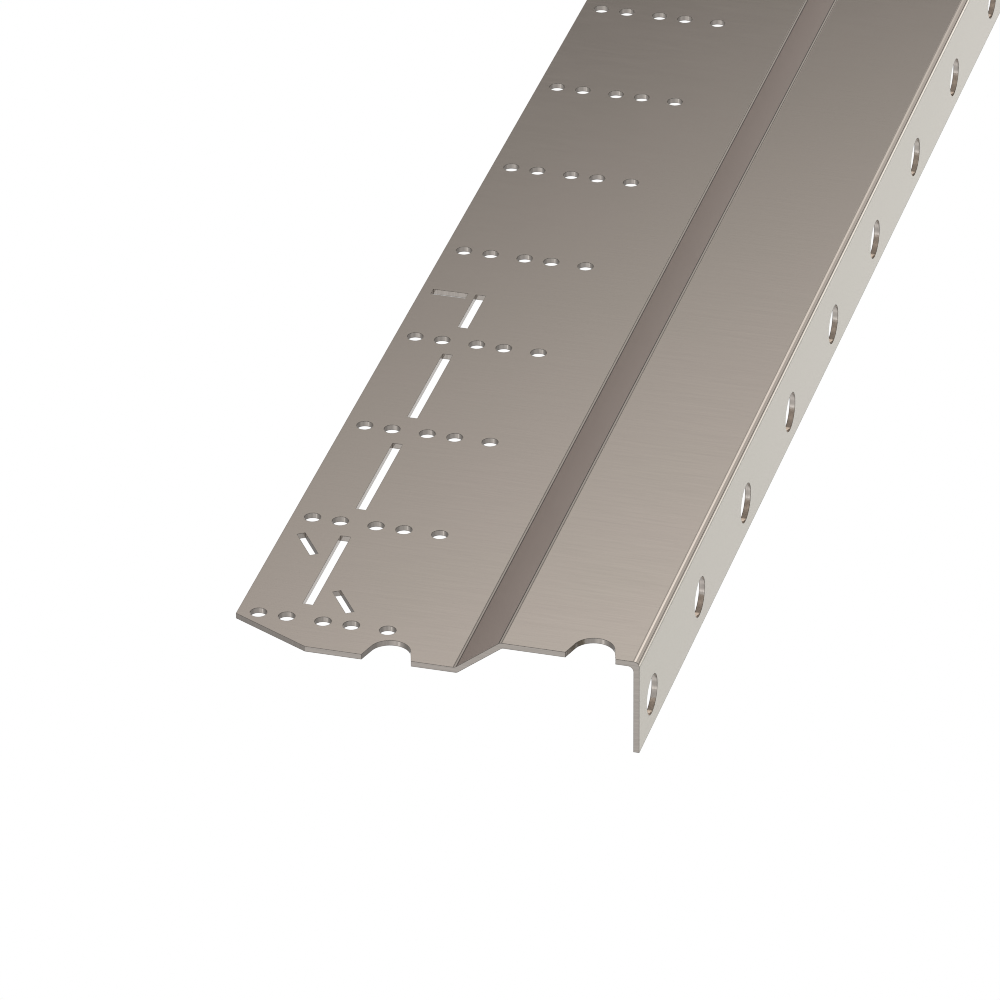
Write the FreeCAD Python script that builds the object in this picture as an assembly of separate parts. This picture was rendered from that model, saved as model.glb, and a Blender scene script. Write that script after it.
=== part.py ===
import FreeCAD, Part
import math
import os

from FreeCAD import Vector

# Shelving upright: one length of folded, punched sheet steel.
# In section, from the free edge: lower plate, sloping step up, upper plate, flange turned down.
# X runs across the width, Y along the length, Z up. Millimetres.
# The origin is the middle of the overall box, at the level of the flange's foot.

# Section
length = 700.0
width = 112.1
depth = 27.6
sheet = 1.6
lower_width = 62.6
step_height = 9.4
step_run = 12.2
step_radius = 1.2
flange_radius = 1.6

# Punched rows, measured from the near end and the free edge
row_pitch = 50.0
first_row = 13.1
plate_hole = 4.5
first_hole = 5.6
narrow_gap = 7.7
wide_gap = 9.9
flange_hole = 11.0
flange_hole_height = 10.0

# Slots between the first rows
slot_width = 2.8
slot_line = 16.9
long_slot = 35.6
long_slots = 3
short_slot = 18.8
short_slot_start = 158.0
cross_slot = 10.0
cross_slot_gap = 2.3
slant_slot = 11.4
slant_slot_width = 2.3
slant_angle = -56.0
slant_offset = 8.7
slant_places = (10.7, 36.5)

# Near end
corner_across = 22.1
corner_along = 11.2
notch_radius = 5.5
notch_centre = 3.2
notch_flare = 16.5
lower_notch = 44.1
upper_notch_from_flange = 13.1

# Levels and edges that follow from the sizes above
lower_top = depth - step_height
fold_angle = math.atan2(step_height, step_run)
fold_shift = sheet * math.tan(fold_angle / 2)
row_count = 1 + int((length - 2 * first_row) // row_pitch)
row_places = [first_row + row * row_pitch for row in range(row_count)]
# A punch starts and stops this far outside the sheet
punch_clear = 1.0


def rounded_outline(corners):
    """Closed wire in the XZ plane; each corner is (x, z, radius), with 0 for a sharp one."""
    points = [Vector(x, 0, z) for x, z, radius in corners]
    ends = []
    for place, (x, z, radius) in enumerate(corners):
        here = points[place]
        back = (points[place - 1] - here).normalize()
        ahead = (points[(place + 1) % len(points)] - here).normalize()
        if radius == 0:
            ends.append((here, None, here))
            continue
        half = back.getAngle(ahead) / 2
        run = radius / math.tan(half)
        middle = here + (back + ahead).normalize() * (radius / math.sin(half) - radius)
        ends.append((here + back * run, middle, here + ahead * run))
    edges = []
    for place, (start, middle, stop) in enumerate(ends):
        if middle is not None:
            edges.append(Part.Arc(start, middle, stop).toShape())
        next_start = ends[(place + 1) % len(ends)][0]
        edges.append(Part.makeLine(stop, next_start))
    return Part.Wire(edges)


def folded_sheet():
    """The bent sheet before punching, with its free edge on x = 0 and its near end on y = 0."""
    upper_fold = lower_width + step_run
    corners = [
        (0, lower_top, 0),
        (lower_width, lower_top, step_radius),
        (upper_fold, depth, step_radius),
        (width, depth, flange_radius),
        (width, 0, 0),
        (width - sheet, 0, 0),
        (width - sheet, depth - sheet, flange_radius),
        (upper_fold + fold_shift, depth - sheet, step_radius),
        (lower_width + fold_shift, lower_top - sheet, step_radius),
        (0, lower_top - sheet, 0),
    ]
    return Part.Face(rounded_outline(corners)).extrude(Vector(0, length, 0))


def plate_punch(outline, top):
    """A punch that passes straight down through a level plate; outline lies in the XY plane."""
    punch = Part.Face(outline).extrude(Vector(0, 0, sheet + 2 * punch_clear))
    punch.translate(Vector(0, 0, top - sheet - punch_clear))
    return punch


def round_punches():
    """Five small holes to a row in the lower plate, and one large one in the flange."""
    across = [first_hole]
    for gap in (narrow_gap, wide_gap, narrow_gap, wide_gap):
        across.append(across[-1] + gap)
    punches = []
    for along in row_places:
        for place in across:
            circle = Part.makeCircle(plate_hole / 2, Vector(place, along, 0))
            punches.append(plate_punch(Part.Wire(circle), lower_top))
        start = Vector(width - sheet - punch_clear, along, flange_hole_height)
        through = sheet + 2 * punch_clear
        punches.append(Part.makeCylinder(flange_hole / 2, through, start, Vector(1, 0, 0)))
    return punches


def slot_punch(centre_x, centre_y, across, along, angle=0.0):
    """A square-cornered slot in the lower plate, turned about its centre by angle degrees."""
    x, y = across / 2, along / 2
    corners = [Vector(-x, -y, 0), Vector(x, -y, 0), Vector(x, y, 0), Vector(-x, y, 0)]
    outline = Part.makePolygon(corners + corners[:1])
    outline.rotate(Vector(0, 0, 0), Vector(0, 0, 1), angle)
    outline.translate(Vector(centre_x, centre_y, 0))
    return plate_punch(outline, lower_top)


def slot_punches():
    """Long slots on one line between the rows, a short one, one across, and two on the slant."""
    punches = []
    for space in range(long_slots):
        middle = first_row + (space + 0.5) * row_pitch
        punches.append(slot_punch(slot_line, middle, slot_width, long_slot))
    short_start = first_row + short_slot_start
    short_end = short_start + short_slot
    short_middle = (short_start + short_end) / 2
    punches.append(slot_punch(slot_line, short_middle, slot_width, short_slot))
    cross_middle = slot_line - slot_width / 2 - cross_slot_gap - cross_slot / 2
    cross_along = short_end - slot_width / 2
    punches.append(slot_punch(cross_middle, cross_along, cross_slot, slot_width))
    for side, along in zip((1, -1), slant_places):
        middle_x = slot_line + side * slant_offset
        middle_y = first_row + along
        punches.append(slot_punch(middle_x, middle_y, slant_slot, slant_slot_width, slant_angle))
    return punches


def notch_punch(centre_x, top):
    """A round-topped notch in the near end, its straight sides flaring outward."""
    flare = math.radians(notch_flare)
    side_x = notch_radius * math.cos(flare)
    side_y = notch_centre + notch_radius * math.sin(flare)
    mouth_y = -punch_clear
    mouth_x = side_x + (side_y - mouth_y) * math.tan(flare)
    left, right = Vector(-side_x, side_y, 0), Vector(side_x, side_y, 0)
    left_mouth, right_mouth = Vector(-mouth_x, mouth_y, 0), Vector(mouth_x, mouth_y, 0)
    crown = Vector(0, notch_centre + notch_radius, 0)
    outline = Part.Wire([
        Part.makeLine(left_mouth, left),
        Part.Arc(left, crown, right).toShape(),
        Part.makeLine(right, right_mouth),
        Part.makeLine(right_mouth, left_mouth),
    ])
    outline.translate(Vector(centre_x, 0, 0))
    return plate_punch(outline, top)


def corner_punch():
    """The slanting cut that takes the free corner off the near end."""
    slope = corner_along / corner_across
    outside_x = corner_across + punch_clear / slope
    outside_y = corner_along + punch_clear * slope
    outline = Part.makePolygon([
        Vector(-punch_clear, outside_y, 0),
        Vector(-punch_clear, -punch_clear, 0),
        Vector(outside_x, -punch_clear, 0),
        Vector(-punch_clear, outside_y, 0),
    ])
    return plate_punch(outline, lower_top)


def upright():
    punches = round_punches() + slot_punches()
    punches.append(notch_punch(lower_notch, lower_top))
    punches.append(notch_punch(width - upper_notch_from_flange, depth))
    punches.append(corner_punch())
    solid = folded_sheet().cut(Part.makeCompound(punches)).Solids[0]
    solid.translate(Vector(-width / 2, -length / 2, 0))
    return solid


os.makedirs("parts", exist_ok=True)
shape = upright()
shape.exportStep("parts/upright.step")
box = shape.BoundBox
print("upright", round(box.XLength, 2), round(box.YLength, 2), round(box.ZLength, 2), "mm")
print("volume", round(shape.Volume / 1000, 2), "cm3, valid", shape.isValid())
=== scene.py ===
import math

import bpy
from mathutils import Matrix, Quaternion, Vector


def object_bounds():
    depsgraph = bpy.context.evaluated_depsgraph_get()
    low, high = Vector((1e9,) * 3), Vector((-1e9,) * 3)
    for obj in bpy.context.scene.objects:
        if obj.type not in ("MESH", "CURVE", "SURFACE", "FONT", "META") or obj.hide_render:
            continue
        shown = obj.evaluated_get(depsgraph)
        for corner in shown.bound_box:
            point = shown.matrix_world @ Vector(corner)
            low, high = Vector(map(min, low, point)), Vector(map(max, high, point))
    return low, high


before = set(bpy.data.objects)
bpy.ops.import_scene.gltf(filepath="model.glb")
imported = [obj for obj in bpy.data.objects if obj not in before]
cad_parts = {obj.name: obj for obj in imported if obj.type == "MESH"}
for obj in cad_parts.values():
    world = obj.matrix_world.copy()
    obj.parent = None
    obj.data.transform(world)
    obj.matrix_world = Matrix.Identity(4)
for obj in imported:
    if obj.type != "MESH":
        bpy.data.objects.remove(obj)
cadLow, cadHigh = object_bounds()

scene = bpy.context.scene
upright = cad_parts["upright"]
mm = 0.001

print("frame loaded:", len(upright.data.vertices), "vertices in the upright")


# Small helpers for building node trees

def addNode(tree, kind, place, **settings):
    node = tree.nodes.new(kind)
    node.location = place
    for name, value in settings.items():
        setattr(node, name, value)
    return node


def feed(tree, sockets, values):
    # each value is another node's output, or a plain number, vector or colour
    for socket, value in zip(sockets, values):
        if isinstance(value, bpy.types.NodeSocket):
            tree.links.new(value, socket)
        else:
            socket.default_value = value


def newMaterial(name):
    material = bpy.data.materials.new(name)
    material.use_nodes = True
    material.node_tree.nodes.clear()
    return material, material.node_tree


def newGroup(name, inputs, outputs):
    # inputs and outputs are pairs of name and socket kind
    group = bpy.data.node_groups.new(name, "ShaderNodeTree")
    for direction, sockets in (("INPUT", inputs), ("OUTPUT", outputs)):
        for socketName, kind in sockets:
            group.interface.new_socket(socketName, in_out=direction, socket_type=kind)
    given = addNode(group, "NodeGroupInput", (-900, 0))
    made = addNode(group, "NodeGroupOutput", (900, 0))
    return group, given.outputs, made.inputs


def placeGroup(tree, group, place, **values):
    node = addNode(tree, "ShaderNodeGroup", place, node_tree=group)
    feed(tree, [node.inputs[name] for name in values], values.values())
    return node.outputs


def maths(tree, operation, place, *values, clamp=False):
    node = addNode(tree, "ShaderNodeMath", place, operation=operation, use_clamp=clamp)
    feed(tree, node.inputs, values)
    return node.outputs[0]


def vectorMaths(tree, operation, place, *vectors):
    node = addNode(tree, "ShaderNodeVectorMath", place, operation=operation)
    feed(tree, node.inputs, vectors)
    return node.outputs


def separate(tree, place, vector):
    node = addNode(tree, "ShaderNodeSeparateXYZ", place)
    tree.links.new(vector, node.inputs[0])
    return node.outputs


def ramp(tree, place, value, fromLow, fromHigh, toLow=0.0, toHigh=1.0, smooth=True):
    node = addNode(tree, "ShaderNodeMapRange", place,
                   interpolation_type="SMOOTHSTEP" if smooth else "LINEAR")
    names = ("Value", "From Min", "From Max", "To Min", "To Max")
    feed(tree, [node.inputs[name] for name in names], (value, fromLow, fromHigh, toLow, toHigh))
    return node.outputs["Result"]


def mixValues(tree, place, factor, first, second):
    node = addNode(tree, "ShaderNodeMix", place, data_type="FLOAT")
    feed(tree, (node.inputs[0], node.inputs[2], node.inputs[3]), (factor, first, second))
    return node.outputs[0]


def mixColours(tree, place, factor, first, second, blend="MIX"):
    node = addNode(tree, "ShaderNodeMix", place, data_type="RGBA", blend_type=blend)
    feed(tree, (node.inputs[0], node.inputs[6], node.inputs[7]), (factor, first, second))
    return node.outputs[2]


def mixShaders(tree, place, factor, first, second):
    node = addNode(tree, "ShaderNodeMixShader", place)
    feed(tree, node.inputs, (factor, first, second))
    return node.outputs[0]


# Camera, where the photograph was taken from

camera = {
    "inFromEdge": 51.5,    # the point looked at, from the free edge
    "inFromEnd": 84.48,    # and from the near end
    "height": 18.2,        # on the lower plate's top
    "distance": 2411.95,
    "azimuth": 15.623,
    "elevation": 30.888,
    "roll": -0.4,
    "lens": 324.98,
    "sensor": 36.0,
}


def placeCamera(values):
    azimuth = math.radians(values["azimuth"])
    elevation = math.radians(values["elevation"])
    aim = Vector((cadLow.x + values["inFromEdge"] * mm,
                  cadLow.y + values["inFromEnd"] * mm,
                  cadLow.z + values["height"] * mm))
    look = Vector((-math.sin(azimuth) * math.cos(elevation),
                   math.cos(azimuth) * math.cos(elevation),
                   -math.sin(elevation)))
    data = bpy.data.cameras.new("photoCamera")
    data.lens = values["lens"]
    data.sensor_width = values["sensor"]
    data.clip_start = 0.1
    data.clip_end = 100.0
    body = bpy.data.objects.new("photoCamera", data)
    body.location = aim - look * (values["distance"] * mm)
    body.rotation_mode = "QUATERNION"
    roll = Quaternion((0, 0, 1), math.radians(values["roll"]))
    body.rotation_quaternion = look.to_track_quat("-Z", "Y") @ roll
    scene.collection.objects.link(body)
    scene.camera = body


# Floor and surroundings: white to the camera, and soft light in patches to the steel

surroundings = {
    "floorSide": 12.0,
    "paleLevel": 0.542,    # floor and walls up to the horizon
    "paleTilt": 0.045,     # brighter to the right by this much
    "wallTop": 0.06,       # sine of the elevation where the walls have faded out
    "floorFall": 0.453,    # share of that light which the floor loses towards the part
    "fallFoot": -0.4,      # sine of the elevation where that share is lost in full
}

# Soft round patches of light, seen from the part; half is the half angle at full level,
# edge the angle over which it fades beyond that; azimuth 0 is straight behind, 90 to the right
softDomes = {
    # mirrored in the plates, the slope and the bends on the photographed side
    "keyDome": {"azimuth": -3.08, "elevation": 45.32, "half": 4.0, "edge": 18.77, "level": 1.527},
    "rightDome": {"azimuth": 35.48, "elevation": 30.22, "half": 22.2, "edge": 4.0, "level": 0.669},
    "leftDome": {"azimuth": -32.33, "elevation": 19.16, "half": 11.98, "edge": 6.0, "level": 0.538},
    # for the other views, so that the steel mirrors no dark gap there
    "fillDome": {"azimuth": 180.0, "elevation": 60.0, "half": 50.0, "edge": 32.0, "level": 0.55},
    "lowBehind": {"azimuth": -2.0, "elevation": 6.0, "half": 16.5, "edge": 5.0, "level": 0.33},
    "belowKey": {"azimuth": -15.0, "elevation": 17.0, "half": 5.0, "edge": 4.5, "level": 0.24},
    "highLeft": {"azimuth": -46.0, "elevation": 38.0, "half": 8.0, "edge": 12.0, "level": 0.45},
    "lowLeft": {"azimuth": -52.0, "elevation": 4.0, "half": 5.0, "edge": 8.0, "level": 0.35},
    "lowRight": {"azimuth": 50.0, "elevation": 3.0, "half": 4.0, "edge": 8.0, "level": 0.40},
    "sideLeft": {"azimuth": -104.0, "elevation": 22.0, "half": 32.0, "edge": 24.0, "level": 0.50},
    "sideRight": {"azimuth": 104.0, "elevation": 22.0, "half": 32.0, "edge": 24.0, "level": 0.55},
    # from below the horizon, for the flange, the punched walls and the sheared ends
    "rimDome": {"azimuth": 23.95, "elevation": -14.49, "half": 7.97, "edge": 2.0, "level": 0.98},
    "floorRight": {"azimuth": 11.06, "elevation": -31.0, "half": 10.7, "edge": 10.2, "level": 0.43},
    "floorBehind": {"azimuth": -10.81, "elevation": -31.0, "half": 13.9, "edge": 6.0, "level": 1.43},
    "floorFront": {"azimuth": -148.5, "elevation": -31.0, "half": 2.86, "edge": 43.2, "level": 0.206},
    "floorFrontRight": {"azimuth": 167.2, "elevation": -31.0, "half": 20.0, "edge": 50.0, "level": 0.171},
    "floorStripe": {"azimuth": -140.4, "elevation": -31.0, "half": 3.9, "edge": 3.0, "level": 0.40},
    "floorUnder": {"azimuth": 0.0, "elevation": -90.0, "half": 25.0, "edge": 28.0, "level": 0.30},
}


def toward(azimuth, elevation):
    azimuth, elevation = math.radians(azimuth), math.radians(elevation)
    return Vector((math.sin(azimuth) * math.cos(elevation),
                   math.cos(azimuth) * math.cos(elevation),
                   math.sin(elevation)))


def seenWhite(tree, white, other, place):
    # camera rays meet plain white, all other rays the shader given
    rays = addNode(tree, "ShaderNodeLightPath", (place[0] - 300, place[1] + 300))
    return mixShaders(tree, place, rays.outputs["Is Camera Ray"], other, white)


def buildFloor(values):
    half = values["floorSide"] / 2
    mesh = bpy.data.meshes.new("floor")
    corners = [(-half, -half), (half, -half), (half, half), (-half, half)]
    mesh.from_pydata([(x, y, cadLow.z) for x, y in corners], [], [(0, 1, 2, 3)])
    floor = bpy.data.objects.new("floor", mesh)
    scene.collection.objects.link(floor)
    material, tree = newMaterial("paleFloor")
    white = addNode(tree, "ShaderNodeEmission", (-300, -300)).outputs[0]
    clear = addNode(tree, "ShaderNodeBsdfTransparent", (-300, -100)).outputs[0]
    side = addNode(tree, "ShaderNodeNewGeometry", (0, 300))
    seen = seenWhite(tree, white, clear, (0, 0))
    # from underneath the floor is clear, so that the part can be looked at from below
    faced = mixShaders(tree, (300, 0), side.outputs["Backfacing"], seen, clear)
    out = addNode(tree, "ShaderNodeOutputMaterial", (600, 0))
    tree.links.new(faced, out.inputs["Surface"])
    mesh.materials.append(material)


def buildDomeGroup():
    # one round patch of light with a soft edge; Outer and Inner are cosines from its centre
    group, given, made = newGroup(
        "softDome",
        [("Direction", "NodeSocketVector"), ("Centre", "NodeSocketVector"),
         ("Outer", "NodeSocketFloat"), ("Inner", "NodeSocketFloat"), ("Level", "NodeSocketFloat")],
        [("Light", "NodeSocketFloat")])
    near = vectorMaths(group, "DOT_PRODUCT", (-600, 0), given["Direction"], given["Centre"])
    edge = ramp(group, (-300, 0), near["Value"], given["Outer"], given["Inner"])
    group.links.new(maths(group, "MULTIPLY", (0, 0), edge, given["Level"]), made["Light"])
    return group


def buildSky(values, domes):
    world = bpy.data.worlds.new("studio")
    world.use_nodes = True
    scene.world = world
    world.cycles.sampling_method = "NONE"    # the steel finds the light by its own gloss
    tree = world.node_tree
    tree.nodes.clear()
    direction = addNode(tree, "ShaderNodeTexCoord", (-1500, 0)).outputs["Generated"]
    split = separate(tree, (-1300, 0), direction)
    # pale floor and walls
    tilt = maths(tree, "MULTIPLY", (-1100, 200), split["X"], values["paleTilt"])
    pale = maths(tree, "ADD", (-900, 200), tilt, values["paleLevel"])
    fade = ramp(tree, (-1100, 0), split["Z"], 0.0, values["wallTop"], 1.0, 0.0)
    fall = ramp(tree, (-1100, -250), split["Z"],
                values["fallFoot"], 0.0, 1.0 - values["floorFall"], 1.0)
    pale = maths(tree, "MULTIPLY", (-700, 100), pale, fade)
    light = maths(tree, "MULTIPLY", (-500, 100), pale, fall)
    # and the patches, one after another
    group = buildDomeGroup()
    for number, dome in enumerate(domes.values()):
        height = -300 - 250 * number
        patch = placeGroup(tree, group, (-700, height), Direction=direction,
                           Centre=toward(dome["azimuth"], dome["elevation"]),
                           Outer=math.cos(math.radians(dome["half"] + dome["edge"])),
                           Inner=math.cos(math.radians(dome["half"])),
                           Level=dome["level"])
        light = maths(tree, "ADD", (-400, height), light, patch["Light"])
    grey = addNode(tree, "ShaderNodeBackground", (0, 0))
    feed(tree, (grey.inputs["Color"], grey.inputs["Strength"]), ((1, 1, 1, 1), light))
    white = addNode(tree, "ShaderNodeBackground", (0, -300))
    white.inputs["Color"].default_value = (1, 1, 1, 1)
    out = addNode(tree, "ShaderNodeOutputWorld", (600, 0))
    seen = seenWhite(tree, white.outputs[0], grey.outputs[0], (300, 0))
    tree.links.new(seen, out.inputs["Surface"])


placeCamera(camera)
buildFloor(surroundings)
buildSky(surroundings, softDomes)
scene.view_settings.view_transform = "Standard"
scene.cycles.filter_width = 1.0    # edges as crisp as in the photograph
print("camera, floor and", len(softDomes), "soft domes of light placed")


# Steel: one sheet, brushed across its width before it was punched and folded

steelSheet = {
    "sheet": 1.6,          # millimetres
    "bendRadius": 1.6,
    "colour": (0.600, 0.527, 0.463, 1),
    # painted shade: the slope is the same steel, coloured darker to stand in for the dimmer light it
    # mirrors
    "slopeShadedColour": (0.503, 0.406, 0.356, 1),
    "flangeColour": (0.572, 0.528, 0.444, 1),   # the flange's outer face is a little greener
    "cutColour": (0.560, 0.512, 0.470, 1),      # fresh metal where the sheet was cut
    "roughness": 0.12,
    "bendRoughness": 0.10,                      # burnished where it was folded
    "slopeRoughness": 0.28,
    "flangeRoughness": 0.13,
    "cutRoughness": 0.15,
    "edgeRoughness": 0.36,                      # dull along edges and fold marks
    "grain": 0.022,        # how far the brushed lines lighten and darken the plates
    "fineGrain": 0.034,
    "smoothGrain": 0.10,   # share of them left on the slope, the flange and the bends
    "cutGrain": 0.12,
    "glossGrain": 0.5,     # how much glossier a lighter line is
    "bumpStrength": 0.15,
    "bumpHeight": 0.05,    # millimetres
    "mottle": 0.015,
    "mottleScale": 22.0,
    "edgeReach": 0.31,     # millimetres from an edge
    "edgeTurn": (0.992, 0.955),                 # cosines where the dark line starts and is full
    "edgeDark": 0.64,
    "markReach": 0.30,     # millimetres to each side of a fold mark
    "dullFrom": (0.08, 0.20),                   # a line this dark starts to be dull, and is fully so
}

# About how many lines to a metre along each axis: the fewer, the longer they run that way
lineCounts = {
    "brushed": (50, 640, 50),
    "brushedFine": (90, 1800, 90),
    "punched": (1900, 1900, 90),
    "sheared": (60, 60, 2450),
}

# Fold marks: thin dark lines on the outer side, from the free edge, and how dark they are
foldMarks = {
    "lowerPlate": {"fromEdge": 62.21, "dark": 0.70},
    "slopeFoot": {"fromEdge": 63.04, "dark": 0.90},
    "slopeTop": {"fromEdge": 74.52, "dark": 0.97},
    "upperPlate": {"fromEdge": 75.26, "dark": 0.71},
    "flangeTop": {"fromEdge": 110.46, "dark": 0.45},
}
# and on the flange's outer face, from the upper plate's top
sideMarks = {
    "belowFold": {"fromTop": 1.80, "dark": 0.35},
    "foot": {"fromTop": 27.50, "dark": 0.30},
}

# How the kinds of face are told apart, by the parts of the normal and by place
faceLimits = {
    "wallLean": 0.05,      # a wall's normal has less than this through the sheet
    "endFacing": 0.9,
    "turned": (0.02, 0.12),     # across times up, where a bend starts to count and fully does
    "steep": (0.40, 0.47),      # and where the slope does
    "sideways": (0.90, 1.0),    # across alone, where the flat side of the flange does
    "facingUp": (0.1, 0.4),     # parts of the normal between which a fold mark comes in
    "facingOut": (0.8, 0.9),
    "flangeMargin": 0.5,   # millimetres inside the flange's inner face
    "bendMargin": 0.1,
    "endMargin": 0.05,
}


def buildLinesGroup():
    # long fine streaks, from about -1 to 1; Scale is about how many to a metre on each axis
    group, given, made = newGroup(
        "brushedLines",
        [("Place", "NodeSocketVector"), ("Scale", "NodeSocketVector")],
        [("Lines", "NodeSocketFloat")])
    spread = vectorMaths(group, "MULTIPLY", (-600, 0), given["Place"], given["Scale"])
    noise = addNode(group, "ShaderNodeTexNoise", (-300, 0))
    noise.inputs["Scale"].default_value = 1.0
    noise.inputs["Detail"].default_value = 3.0
    noise.inputs["Roughness"].default_value = 0.6
    group.links.new(spread[0], noise.inputs["Vector"])
    # the noise stays within about 0.25 of its middle value, 0.5
    level = maths(group, "SUBTRACT", (0, 0), noise.outputs[0], 0.5)
    group.links.new(maths(group, "MULTIPLY", (300, 0), level, 4.0), made["Lines"])
    return group


def buildMarkGroup():
    # a thin line where Along passes Centre
    group, given, made = newGroup(
        "thinMark",
        [("Along", "NodeSocketFloat"), ("Centre", "NodeSocketFloat"), ("Reach", "NodeSocketFloat")],
        [("Mark", "NodeSocketFloat")])
    offset = maths(group, "SUBTRACT", (-600, 0), given["Along"], given["Centre"])
    gap = maths(group, "ABSOLUTE", (-300, 0), offset)
    group.links.new(ramp(group, (0, 0), gap, 0.0, given["Reach"], 1.0, 0.0), made["Mark"])
    return group


def buildFacesGroup(limits):
    # which kind of face this is: Cut through the sheet, an End, Turned at a bend, Slope or Flange
    group, given, made = newGroup(
        "sheetFaces",
        [("Place", "NodeSocketVector"), ("Normal", "NodeSocketVector"),
         ("FlangeFrom", "NodeSocketFloat"), ("BendFrom", "NodeSocketFloat"),
         ("EndFrom", "NodeSocketFloat")],
        [("Cut", "NodeSocketFloat"), ("End", "NodeSocketFloat"), ("Turned", "NodeSocketFloat"),
         ("Slope", "NodeSocketFloat"), ("Flange", "NodeSocketFloat")])
    where = separate(group, (-700, 300), given["Place"])
    size = vectorMaths(group, "ABSOLUTE", (-700, -100), given["Normal"])
    facing = separate(group, (-500, -100), size[0])
    across, along, up = facing["X"], facing["Y"], facing["Z"]
    inFlange = maths(group, "GREATER_THAN", (-400, 300), where["X"], given["FlangeFrom"])
    inPlates = maths(group, "SUBTRACT", (-200, 300), 1.0, inFlange)
    belowBend = maths(group, "LESS_THAN", (-400, 150), where["Z"], given["BendFrom"])

    # cut through the sheet: standing walls in the plates, level ones in the flange, and the ends
    standing = maths(group, "LESS_THAN", (-200, 150), up, limits["wallLean"])
    level = maths(group, "LESS_THAN", (-200, 0), across, limits["wallLean"])
    plateWall = maths(group, "MULTIPLY", (0, 200), standing, inPlates)
    flangeWall = maths(group, "MULTIPLY", (0, 50), level, inFlange)
    flangeWall = maths(group, "MULTIPLY", (200, 50), flangeWall, belowBend)
    wall = maths(group, "MAXIMUM", (400, 200), plateWall, flangeWall)
    endOn = maths(group, "GREATER_THAN", (400, 50), along, limits["endFacing"])
    group.links.new(maths(group, "MAXIMUM", (550, 200), wall, endOn), made["Cut"])
    fromMiddle = maths(group, "ABSOLUTE", (0, -100), where["Y"])
    atEnd = maths(group, "GREATER_THAN", (200, -100), fromMiddle, given["EndFrom"])
    group.links.new(atEnd, made["End"])

    # folded: leaning between the plates and the flange
    turn = maths(group, "MULTIPLY", (-200, -300), across, up)
    bent = ramp(group, (0, -300), turn, *limits["turned"])
    steep = ramp(group, (0, -500), turn, *limits["steep"])
    slope = maths(group, "MULTIPLY", (200, -500), steep, inPlates)
    group.links.new(slope, made["Slope"])
    turned = maths(group, "SUBTRACT", (400, -300), bent, slope, clamp=True)
    group.links.new(turned, made["Turned"])
    sideways = ramp(group, (0, -700), across, *limits["sideways"])
    group.links.new(maths(group, "MULTIPLY", (200, -700), sideways, inFlange), made["Flange"])
    return group


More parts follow.
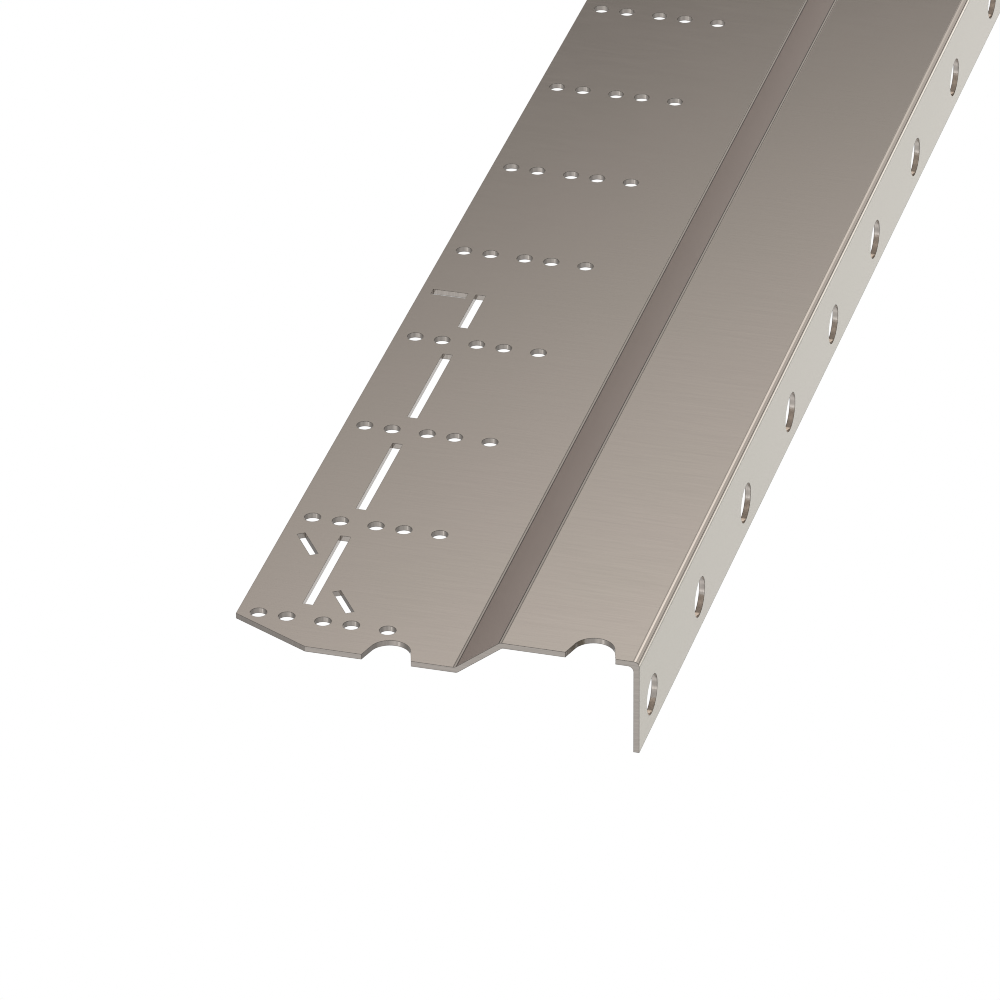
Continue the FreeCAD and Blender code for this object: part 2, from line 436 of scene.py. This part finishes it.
def buildSteel(values, counts, topMarks, outerMarks, limits):
    material, tree = newMaterial("brushedSteel")
    place = addNode(tree, "ShaderNodeTexCoord", (-2400, 200)).outputs["Object"]
    normal = addNode(tree, "ShaderNodeNewGeometry", (-2400, -200)).outputs["Normal"]
    where = separate(tree, (-2200, 400), place)
    faces = placeGroup(tree, buildFacesGroup(limits), (-2000, -200), Place=place, Normal=normal,
                       FlangeFrom=cadHigh.x - (values["sheet"] + limits["flangeMargin"]) * mm,
                       BendFrom=cadHigh.z - (values["bendRadius"] + limits["bendMargin"]) * mm,
                       EndFrom=cadHigh.y - limits["endMargin"] * mm)

    # streaks: two sizes along the width of the plates, others down the walls and along the ends
    linesGroup = buildLinesGroup()

    def streaks(height, kind):
        return placeGroup(tree, linesGroup, (-2000, height), Place=place, Scale=counts[kind])["Lines"]

    coarse = maths(tree, "MULTIPLY", (-1800, 900), streaks(900, "brushed"), values["grain"])
    fine = maths(tree, "MULTIPLY", (-1800, 700), streaks(700, "brushedFine"), values["fineGrain"])
    brushed = maths(tree, "ADD", (-1600, 800), coarse, fine)
    smooth = maths(tree, "MAXIMUM", (-1800, 500), faces["Slope"], faces["Flange"])
    smooth = maths(tree, "MAXIMUM", (-1700, 500), smooth, faces["Turned"])
    share = ramp(tree, (-1600, 500), smooth, 0.0, 1.0, 1.0, values["smoothGrain"], smooth=False)
    brushed = maths(tree, "MULTIPLY", (-1400, 700), brushed, share)
    punched = streaks(-600, "punched")
    sheared = streaks(-800, "sheared")
    cutLines = mixValues(tree, (-1700, -700), faces["End"], punched, sheared)
    cutLines = maths(tree, "MULTIPLY", (-1500, -700), cutLines, values["cutGrain"])
    grain = mixValues(tree, (-1200, 500), faces["Cut"], brushed, cutLines)

    # edges, thin and dark, where the eased surface turns away from the real one
    eased = addNode(tree, "ShaderNodeBevel", (-2000, -1100), samples=8)
    eased.inputs["Radius"].default_value = values["edgeReach"] * mm
    turnAway = vectorMaths(tree, "DOT_PRODUCT", (-1800, -1100), eased.outputs[0], normal)
    dark = ramp(tree, (-1600, -1100), turnAway["Value"], *values["edgeTurn"], 0.0, values["edgeDark"])

    # and fold marks
    facing = separate(tree, (-2200, -1400), normal)
    upward = ramp(tree, (-2000, -1400), facing["Z"], *limits["facingUp"])
    outward = ramp(tree, (-2000, -1700), facing["X"], *limits["facingOut"])
    markGroup = buildMarkGroup()
    lines = [(where["X"], cadLow.x + mark["fromEdge"] * mm, mark["dark"], upward)
             for mark in topMarks.values()]
    lines += [(where["Z"], cadHigh.z - mark["fromTop"] * mm, mark["dark"], outward)
              for mark in outerMarks.values()]
    for number, (along, centre, strength, side) in enumerate(lines):
        height = -1500 - 200 * number
        line = placeGroup(tree, markGroup, (-1800, height),
                          Along=along, Centre=centre, Reach=values["markReach"] * mm)
        marked = maths(tree, "MULTIPLY", (-1600, height), line["Mark"], strength)
        marked = maths(tree, "MULTIPLY", (-1400, height), marked, side)
        dark = maths(tree, "MAXIMUM", (-1200, height), dark, marked)

    # colour
    mottle = addNode(tree, "ShaderNodeTexNoise", (-2000, 1300))
    mottle.inputs["Scale"].default_value = values["mottleScale"]
    mottle.inputs["Detail"].default_value = 2.0
    tree.links.new(place, mottle.inputs["Vector"])
    more, less = 1.0 + values["mottle"], 1.0 - values["mottle"]
    warm = mixColours(tree, (-1500, 1300), mottle.outputs[0],
                      (more, 1.0, more, 1), (less, 1.0, less, 1))
    # painted shade: the slope takes a darker copy of the steel colour
    colour = mixColours(tree, (-1200, 1100), faces["Slope"], values["colour"], values["slopeShadedColour"])
    colour = mixColours(tree, (-1000, 1100), faces["Flange"], colour, values["flangeColour"])
    colour = mixColours(tree, (-800, 1100), faces["Cut"], colour, values["cutColour"])
    colour = mixColours(tree, (-600, 1100), 1.0, colour, warm, "MULTIPLY")
    lighter = maths(tree, "ADD", (-1000, 500), grain, 1.0)
    clean = maths(tree, "SUBTRACT", (-900, -1000), 1.0, dark)
    shade = maths(tree, "MULTIPLY", (-700, 300), lighter, clean)
    colour = mixColours(tree, (-300, 800), 1.0, colour, shade, "MULTIPLY")

    # roughness
    rough = mixValues(tree, (-1300, -200), faces["Turned"],
                      values["roughness"], values["bendRoughness"])
    rough = mixValues(tree, (-1200, -200), faces["Slope"], rough, values["slopeRoughness"])
    rough = mixValues(tree, (-1100, -200), faces["Flange"], rough, values["flangeRoughness"])
    rough = mixValues(tree, (-900, -200), faces["Cut"], rough, values["cutRoughness"])
    gloss = maths(tree, "MULTIPLY", (-700, -400), grain, values["glossGrain"])
    rough = maths(tree, "SUBTRACT", (-500, -200), rough, gloss)
    dull = ramp(tree, (-500, -500), dark, *values["dullFrom"])
    rough = mixValues(tree, (-300, -200), dull, rough, values["edgeRoughness"])

    bump = addNode(tree, "ShaderNodeBump", (-200, -400))
    bump.inputs["Strength"].default_value = values["bumpStrength"]
    bump.inputs["Distance"].default_value = values["bumpHeight"] * mm
    tree.links.new(grain, bump.inputs["Height"])

    shader = addNode(tree, "ShaderNodeBsdfPrincipled", (300, 0))
    shader.inputs["Metallic"].default_value = 1.0
    tree.links.new(colour, shader.inputs["Base Color"])
    tree.links.new(rough, shader.inputs["Roughness"])
    tree.links.new(bump.outputs[0], shader.inputs["Normal"])
    out = addNode(tree, "ShaderNodeOutputMaterial", (600, 0))
    tree.links.new(shader.outputs[0], out.inputs["Surface"])
    return material


steel = buildSteel(steelSheet, lineCounts, foldMarks, sideMarks, faceLimits)
upright.material_slots[0].material = steel
print("steel finished with", len(foldMarks) + len(sideMarks), "fold marks")
